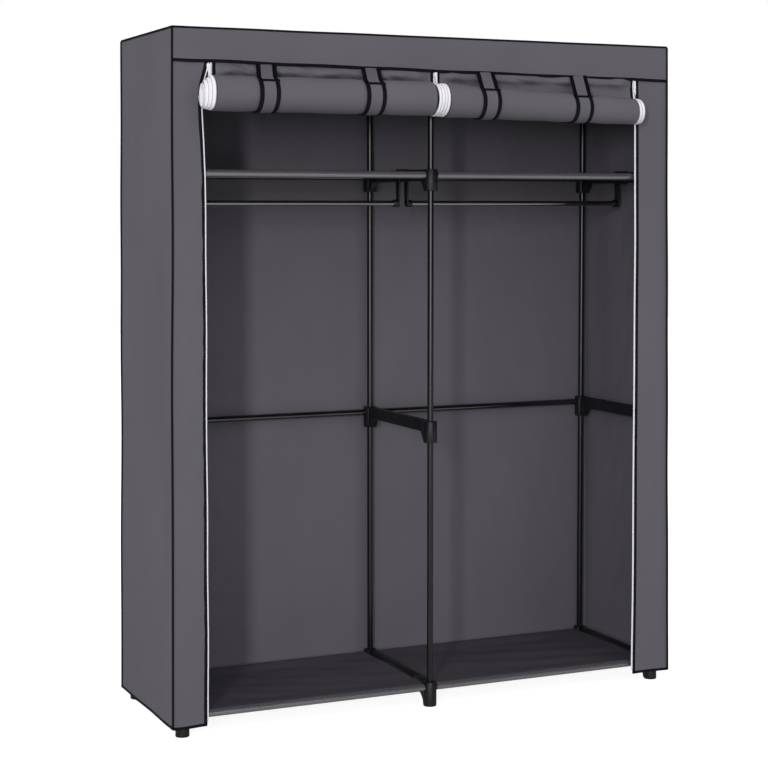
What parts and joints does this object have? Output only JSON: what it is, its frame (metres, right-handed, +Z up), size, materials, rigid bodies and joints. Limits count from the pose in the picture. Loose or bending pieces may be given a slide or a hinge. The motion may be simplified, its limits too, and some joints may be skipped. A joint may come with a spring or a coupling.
{
  "type": "portable fabric wardrobe",
  "caption": "Free-standing wardrobe of steel tubes and plastic arms in a grey fabric cover, with hanging rods, fabric shelves and doors rolled up in straps.",
  "frame": {"origin": "on the floor, under the middle of the whole with its doors rolled up", "axes": "+X to the right of someone facing the doors, +Y to the back, +Z up"},
  "size_m": [1.4, 0.5264, 1.74],
  "materials": {
    "cover_cloth": "matte",
    "shelf_cloth": "matte",
    "moulded_plastic": "satin",
    "black_steel": "satin",
    "zip_nylon": "satin"
  },
  "bodies": {
    "wardrobe": {"foot_arm_left": "moulded_plastic", "foot_arm_centre": "moulded_plastic", "foot_arm_right": "moulded_plastic", "mid_arm_left": "moulded_plastic", "mid_arm_centre": "moulded_plastic", "mid_arm_right": "moulded_plastic", "shelf_arm_left": "moulded_plastic", "shelf_arm_centre": "moulded_plastic", "shelf_arm_right": "moulded_plastic", "top_arm_left": "moulded_plastic", "top_arm_centre": "moulded_plastic", "top_arm_right": "moulded_plastic", "post_front_left": "black_steel", "post_front_centre": "black_steel", "post_front_right": "black_steel", "post_back_left": "black_steel", "post_back_centre": "black_steel", "post_back_right": "black_steel", "bottom_tube_front_left": "black_steel", "bottom_tube_front_right": "black_steel", "bottom_tube_back_left": "black_steel", "bottom_tube_back_right": "black_steel", "mid_tube_back_left": "black_steel", "mid_tube_back_right": "black_steel", "shelf_tube_front_left": "black_steel", "shelf_tube_front_right": "black_steel", "shelf_tube_back_left": "black_steel", "shelf_tube_back_right": "black_steel", "top_tube_front_left": "black_steel", "top_tube_front_right": "black_steel", "top_tube_back_left": "black_steel", "top_tube_back_right": "black_steel", "rod_bracket_left": "moulded_plastic", "rod_bracket_centre": "moulded_plastic", "rod_bracket_right": "moulded_plastic", "hanging_rod_left": "black_steel", "hanging_rod_right": "black_steel", "bottom_shelf_left": "shelf_cloth", "top_shelf_left": "shelf_cloth", "bottom_shelf_right": "shelf_cloth", "top_shelf_right": "shelf_cloth", "cover_roof": "cover_cloth", "cover_valance": "cover_cloth", "cover_back": "cover_cloth", "cover_side_left": "cover_cloth", "cover_side_right": "cover_cloth", "door_header_left": "cover_cloth", "strap_left_outer": "cover_cloth", "strap_left_inner": "cover_cloth", "door_header_right": "cover_cloth", "strap_right_outer": "cover_cloth", "strap_right_inner": "cover_cloth"},
    "door_left": {"door_roll_left": "cover_cloth", "zip_wind_left": "zip_nylon"},
    "door_right": {"door_roll_right": "cover_cloth", "zip_wind_centre": "zip_nylon", "zip_wind_right": "zip_nylon"},
    "slider_left": {"zip_slider_left": "zip_nylon"},
    "slider_centre": {"zip_slider_centre": "zip_nylon"},
    "slider_right": {"zip_slider_right": "zip_nylon"}
  },
  "joints": [
    {"name": "door_left_unroll", "type": "slide", "parent": "wardrobe", "child": "door_left", "axis": [0, 0, -1], "range_m": [0, 1.51], "deforming": ["door_header_left", "strap_left_outer", "strap_left_inner"]},
    {"name": "door_right_unroll", "type": "slide", "parent": "wardrobe", "child": "door_right", "axis": [0, 0, -1], "range_m": [0, 1.51], "deforming": ["door_header_right", "strap_right_outer", "strap_right_inner"]},
    {"name": "zip_left_slide", "type": "slide", "parent": "wardrobe", "child": "slider_left", "axis": [0, 0, -1], "range_m": [0, 1.57]},
    {"name": "zip_centre_slide", "type": "slide", "parent": "wardrobe", "child": "slider_centre", "axis": [0, 0, -1], "range_m": [0, 1.57]},
    {"name": "zip_right_slide", "type": "slide", "parent": "wardrobe", "child": "slider_right", "axis": [0, 0, -1], "range_m": [0, 1.57]}
  ]
}
